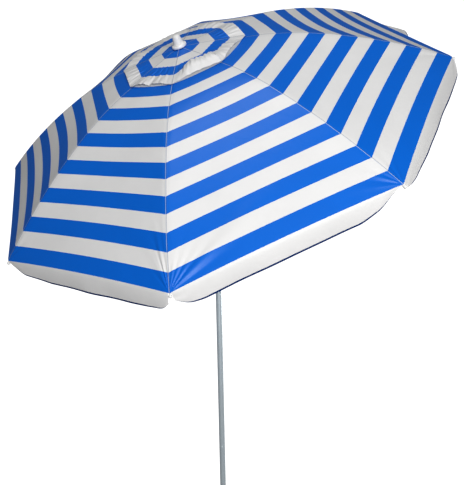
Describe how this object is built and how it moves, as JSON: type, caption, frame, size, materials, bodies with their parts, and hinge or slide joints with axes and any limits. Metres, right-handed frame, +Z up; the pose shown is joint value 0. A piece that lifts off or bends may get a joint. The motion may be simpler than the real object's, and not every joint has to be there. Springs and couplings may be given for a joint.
{
  "type": "beach umbrella",
  "caption": "Vented striped beach umbrella, tilted on a two-part telescoping pole, with folding ribs, stretchers, runner, valance and ground spike.",
  "frame": {"origin": "on the pole's axis at the foot of the straight lower tube, where a ground socket takes it", "axes": "+Z up the pole; the tilt pivot runs along X and the mast leans towards -Y"},
  "size_m": [1.8231, 1.4407, 2.358],
  "materials": {
    "canopy_fabric": "royal blue and white bands, woven polyester",
    "pole_metal": "silver anodised tube",
    "rib_steel": "zinc-coated rod",
    "small_steel": "bright wire, rivets and pins",
    "white_plastic": "moulded, soft gloss",
    "grey_plastic": "moulded, fine texture",
    "knuckle_metal": "plated casting"
  },
  "bodies": {
    "lower_pole": {"lower_pole": "pole_metal", "pole_tip": "grey_plastic", "clamp_collar": "grey_plastic"},
    "clamp_knob": {"clamp_knob": "grey_plastic"},
    "upper_pole": {"upper_pole": "pole_metal", "tilt_fork": "knuckle_metal", "tilt_pin": "small_steel", "tilt_spring": "small_steel"},
    "tilt_button": {"tilt_button": "grey_plastic"},
    "mast": {"mast": "pole_metal", "tilt_tongue": "knuckle_metal", "hub": "white_plastic", "hub_ring": "small_steel", "finial_stud": "small_steel", "finial": "white_plastic"},
    "runner": {"runner": "white_plastic"},
    "runner_latch": {"runner_latch": "grey_plastic"},
    "rib_1": {"rib_1": "rib_steel", "rib_bracket_1": "small_steel", "rib_tip_1": "white_plastic", "canopy_sector_1": "canopy_fabric"},
    "rib_2": {"rib_2": "rib_steel", "rib_bracket_2": "small_steel", "rib_tip_2": "white_plastic", "canopy_sector_2": "canopy_fabric"},
    "rib_3": {"rib_3": "rib_steel", "rib_bracket_3": "small_steel", "rib_tip_3": "white_plastic", "canopy_sector_3": "canopy_fabric"},
    "rib_4": {"rib_4": "rib_steel", "rib_bracket_4": "small_steel", "rib_tip_4": "white_plastic", "canopy_sector_4": "canopy_fabric"},
    "rib_5": {"rib_5": "rib_steel", "rib_bracket_5": "small_steel", "rib_tip_5": "white_plastic", "canopy_sector_5": "canopy_fabric"},
    "rib_6": {"rib_6": "rib_steel", "rib_bracket_6": "small_steel", "rib_tip_6": "white_plastic", "canopy_sector_6": "canopy_fabric"},
    "rib_7": {"rib_7": "rib_steel", "rib_bracket_7": "small_steel", "rib_tip_7": "white_plastic", "canopy_sector_7": "canopy_fabric"},
    "rib_8": {"rib_8": "rib_steel", "rib_bracket_8": "small_steel", "rib_tip_8": "white_plastic", "canopy_sector_8": "canopy_fabric"},
    "stretcher_1": {"stretcher_1": "rib_steel"},
    "stretcher_2": {"stretcher_2": "rib_steel"},
    "stretcher_3": {"stretcher_3": "rib_steel"},
    "stretcher_4": {"stretcher_4": "rib_steel"},
    "stretcher_5": {"stretcher_5": "rib_steel"},
    "stretcher_6": {"stretcher_6": "rib_steel"},
    "stretcher_7": {"stretcher_7": "rib_steel"},
    "stretcher_8": {"stretcher_8": "rib_steel"}
  },
  "joints": [
    {"name": "knob_turn", "type": "hinge", "parent": "lower_pole", "child": "clamp_knob", "pos_m": [0.034, 0, 1.113], "axis": [1, 0, 0], "range_deg": [0, 180]},
    {"name": "height_slide", "type": "slide", "parent": "lower_pole", "child": "upper_pole", "axis": [0, 0, 1], "range_m": [-0.3, 0.1]},
    {"name": "tilt_hinge", "type": "hinge", "parent": "upper_pole", "child": "mast", "pos_m": [0, 0, 1.65], "axis": [-1, 0, 0], "range_deg": [0, 38]},
    {"name": "tilt_button_push", "type": "slide", "parent": "upper_pole", "child": "tilt_button", "axis": [0, -1, 0], "range_m": [0, 0.003], "stiffness_N_per_m": 400, "springref_m": -0.002, "deforming": ["tilt_spring"]},
    {"name": "runner_slide", "type": "slide", "parent": "mast", "child": "runner", "axis": [0, 0.6157, -0.788], "range_m": [0, 0.21468]},
    {"name": "latch_release", "type": "slide", "parent": "runner", "child": "runner_latch", "axis": [-0.6441, 0.6028, 0.4709], "range_m": [0, 0.002], "stiffness_N_per_m": 400, "springref_m": -0.002},
    {"name": "rib_1_fold", "type": "hinge", "parent": "mast", "child": "rib_1", "pos_m": [-0.02726, -0.23073, 1.93127], "axis": [0.3024, -0.7511, -0.5868], "range_deg": [0, 72], "deforming": ["canopy_sector_1"]},
    {"name": "rib_2_fold", "type": "hinge", "parent": "mast", "child": "rib_2", "pos_m": [-0.01316, -0.24392, 1.92096], "axis": [0.8878, -0.3626, -0.2833], "range_deg": [0, 72], "deforming": ["canopy_sector_2"]},
    {"name": "rib_3_fold", "type": "hinge", "parent": "mast", "child": "rib_3", "pos_m": [0.00865, -0.24539, 1.91981], "axis": [0.9532, 0.2383, 0.1862], "range_deg": [0, 72], "deforming": ["canopy_sector_3"]},
    {"name": "rib_4_fold", "type": "hinge", "parent": "mast", "child": "rib_4", "pos_m": [0.02539, -0.23428, 1.92849], "axis": [0.4602, 0.6996, 0.5466], "range_deg": [0, 72], "deforming": ["canopy_sector_4"]},
    {"name": "rib_5_fold", "type": "hinge", "parent": "mast", "child": "rib_5", "pos_m": [0.02726, -0.2171, 1.94192], "axis": [-0.3024, 0.7511, 0.5868], "range_deg": [0, 72], "deforming": ["canopy_sector_5"]},
    {"name": "rib_6_fold", "type": "hinge", "parent": "mast", "child": "rib_6", "pos_m": [0.01316, -0.2039, 1.95223], "axis": [-0.8878, 0.3626, 0.2833], "range_deg": [0, 72], "deforming": ["canopy_sector_6"]},
    {"name": "rib_7_fold", "type": "hinge", "parent": "mast", "child": "rib_7", "pos_m": [-0.00865, -0.20243, 1.95338], "axis": [-0.9532, -0.2383, -0.1862], "range_deg": [0, 72], "deforming": ["canopy_sector_7"]},
    {"name": "rib_8_fold", "type": "hinge", "parent": "mast", "child": "rib_8", "pos_m": [-0.02539, -0.21354, 1.9447], "axis": [-0.4602, -0.6996, -0.5466], "range_deg": [0, 72], "deforming": ["canopy_sector_8"]},
    {"name": "stretcher_1_swing", "type": "hinge", "parent": "rib_1", "child": "stretcher_1", "pos_m": [-0.15979, -0.2587, 1.89878], "axis": [-0.3024, 0.7511, 0.5868], "range_deg": [0, 122.47]},
    {"name": "stretcher_2_swing", "type": "hinge", "parent": "rib_2", "child": "stretcher_2", "pos_m": [-0.07714, -0.33603, 1.83836], "axis": [-0.8878, 0.3626, 0.2833], "range_deg": [0, 122.47]},
    {"name": "stretcher_3_swing", "type": "hinge", "parent": "rib_3", "child": "stretcher_3", "pos_m": [0.05069, -0.34467, 1.83162], "axis": [-0.9532, -0.2383, -0.1862], "range_deg": [0, 122.47]},
    {"name": "stretcher_4_swing", "type": "hinge", "parent": "rib_4", "child": "stretcher_4", "pos_m": [0.14883, -0.27954, 1.8825], "axis": [-0.4602, -0.6996, -0.5466], "range_deg": [0, 122.47]},
    {"name": "stretcher_5_swing", "type": "hinge", "parent": "rib_5", "child": "stretcher_5", "pos_m": [0.15979, -0.17881, 1.9612], "axis": [0.3024, -0.7511, -0.5868], "range_deg": [0, 122.47]},
    {"name": "stretcher_6_swing", "type": "hinge", "parent": "rib_6", "child": "stretcher_6", "pos_m": [0.07714, -0.10148, 2.02162], "axis": [0.8878, -0.3626, -0.2833], "range_deg": [0, 122.47]},
    {"name": "stretcher_7_swing", "type": "hinge", "parent": "rib_7", "child": "stretcher_7", "pos_m": [-0.05069, -0.09284, 2.02837], "axis": [0.9532, 0.2383, 0.1862], "range_deg": [0, 122.47]},
    {"name": "stretcher_8_swing", "type": "hinge", "parent": "rib_8", "child": "stretcher_8", "pos_m": [-0.14883, -0.15796, 1.97749], "axis": [0.4602, 0.6996, 0.5466], "range_deg": [0, 122.47]}
  ],
  "couplings": [
    {"joint": "rib_2_fold", "follows": "rib_1_fold", "ratio": 1},
    {"joint": "rib_3_fold", "follows": "rib_1_fold", "ratio": 1},
    {"joint": "rib_4_fold", "follows": "rib_1_fold", "ratio": 1},
    {"joint": "rib_5_fold", "follows": "rib_1_fold", "ratio": 1},
    {"joint": "rib_6_fold", "follows": "rib_1_fold", "ratio": 1},
    {"joint": "rib_7_fold", "follows": "rib_1_fold", "ratio": 1},
    {"joint": "rib_8_fold", "follows": "rib_1_fold", "ratio": 1},
    {"joint": "stretcher_1_swing", "follows": "rib_1_fold", "ratio": 1.7009},
    {"joint": "stretcher_2_swing", "follows": "rib_1_fold", "ratio": 1.7009},
    {"joint": "stretcher_3_swing", "follows": "rib_1_fold", "ratio": 1.7009},
    {"joint": "stretcher_4_swing", "follows": "rib_1_fold", "ratio": 1.7009},
    {"joint": "stretcher_5_swing", "follows": "rib_1_fold", "ratio": 1.7009},
    {"joint": "stretcher_6_swing", "follows": "rib_1_fold", "ratio": 1.7009},
    {"joint": "stretcher_7_swing", "follows": "rib_1_fold", "ratio": 1.7009},
    {"joint": "stretcher_8_swing", "follows": "rib_1_fold", "ratio": 1.7009},
    {"joint": "runner_slide", "follows": "rib_1_fold", "m_per_rad": 0.17083}
  ]
}
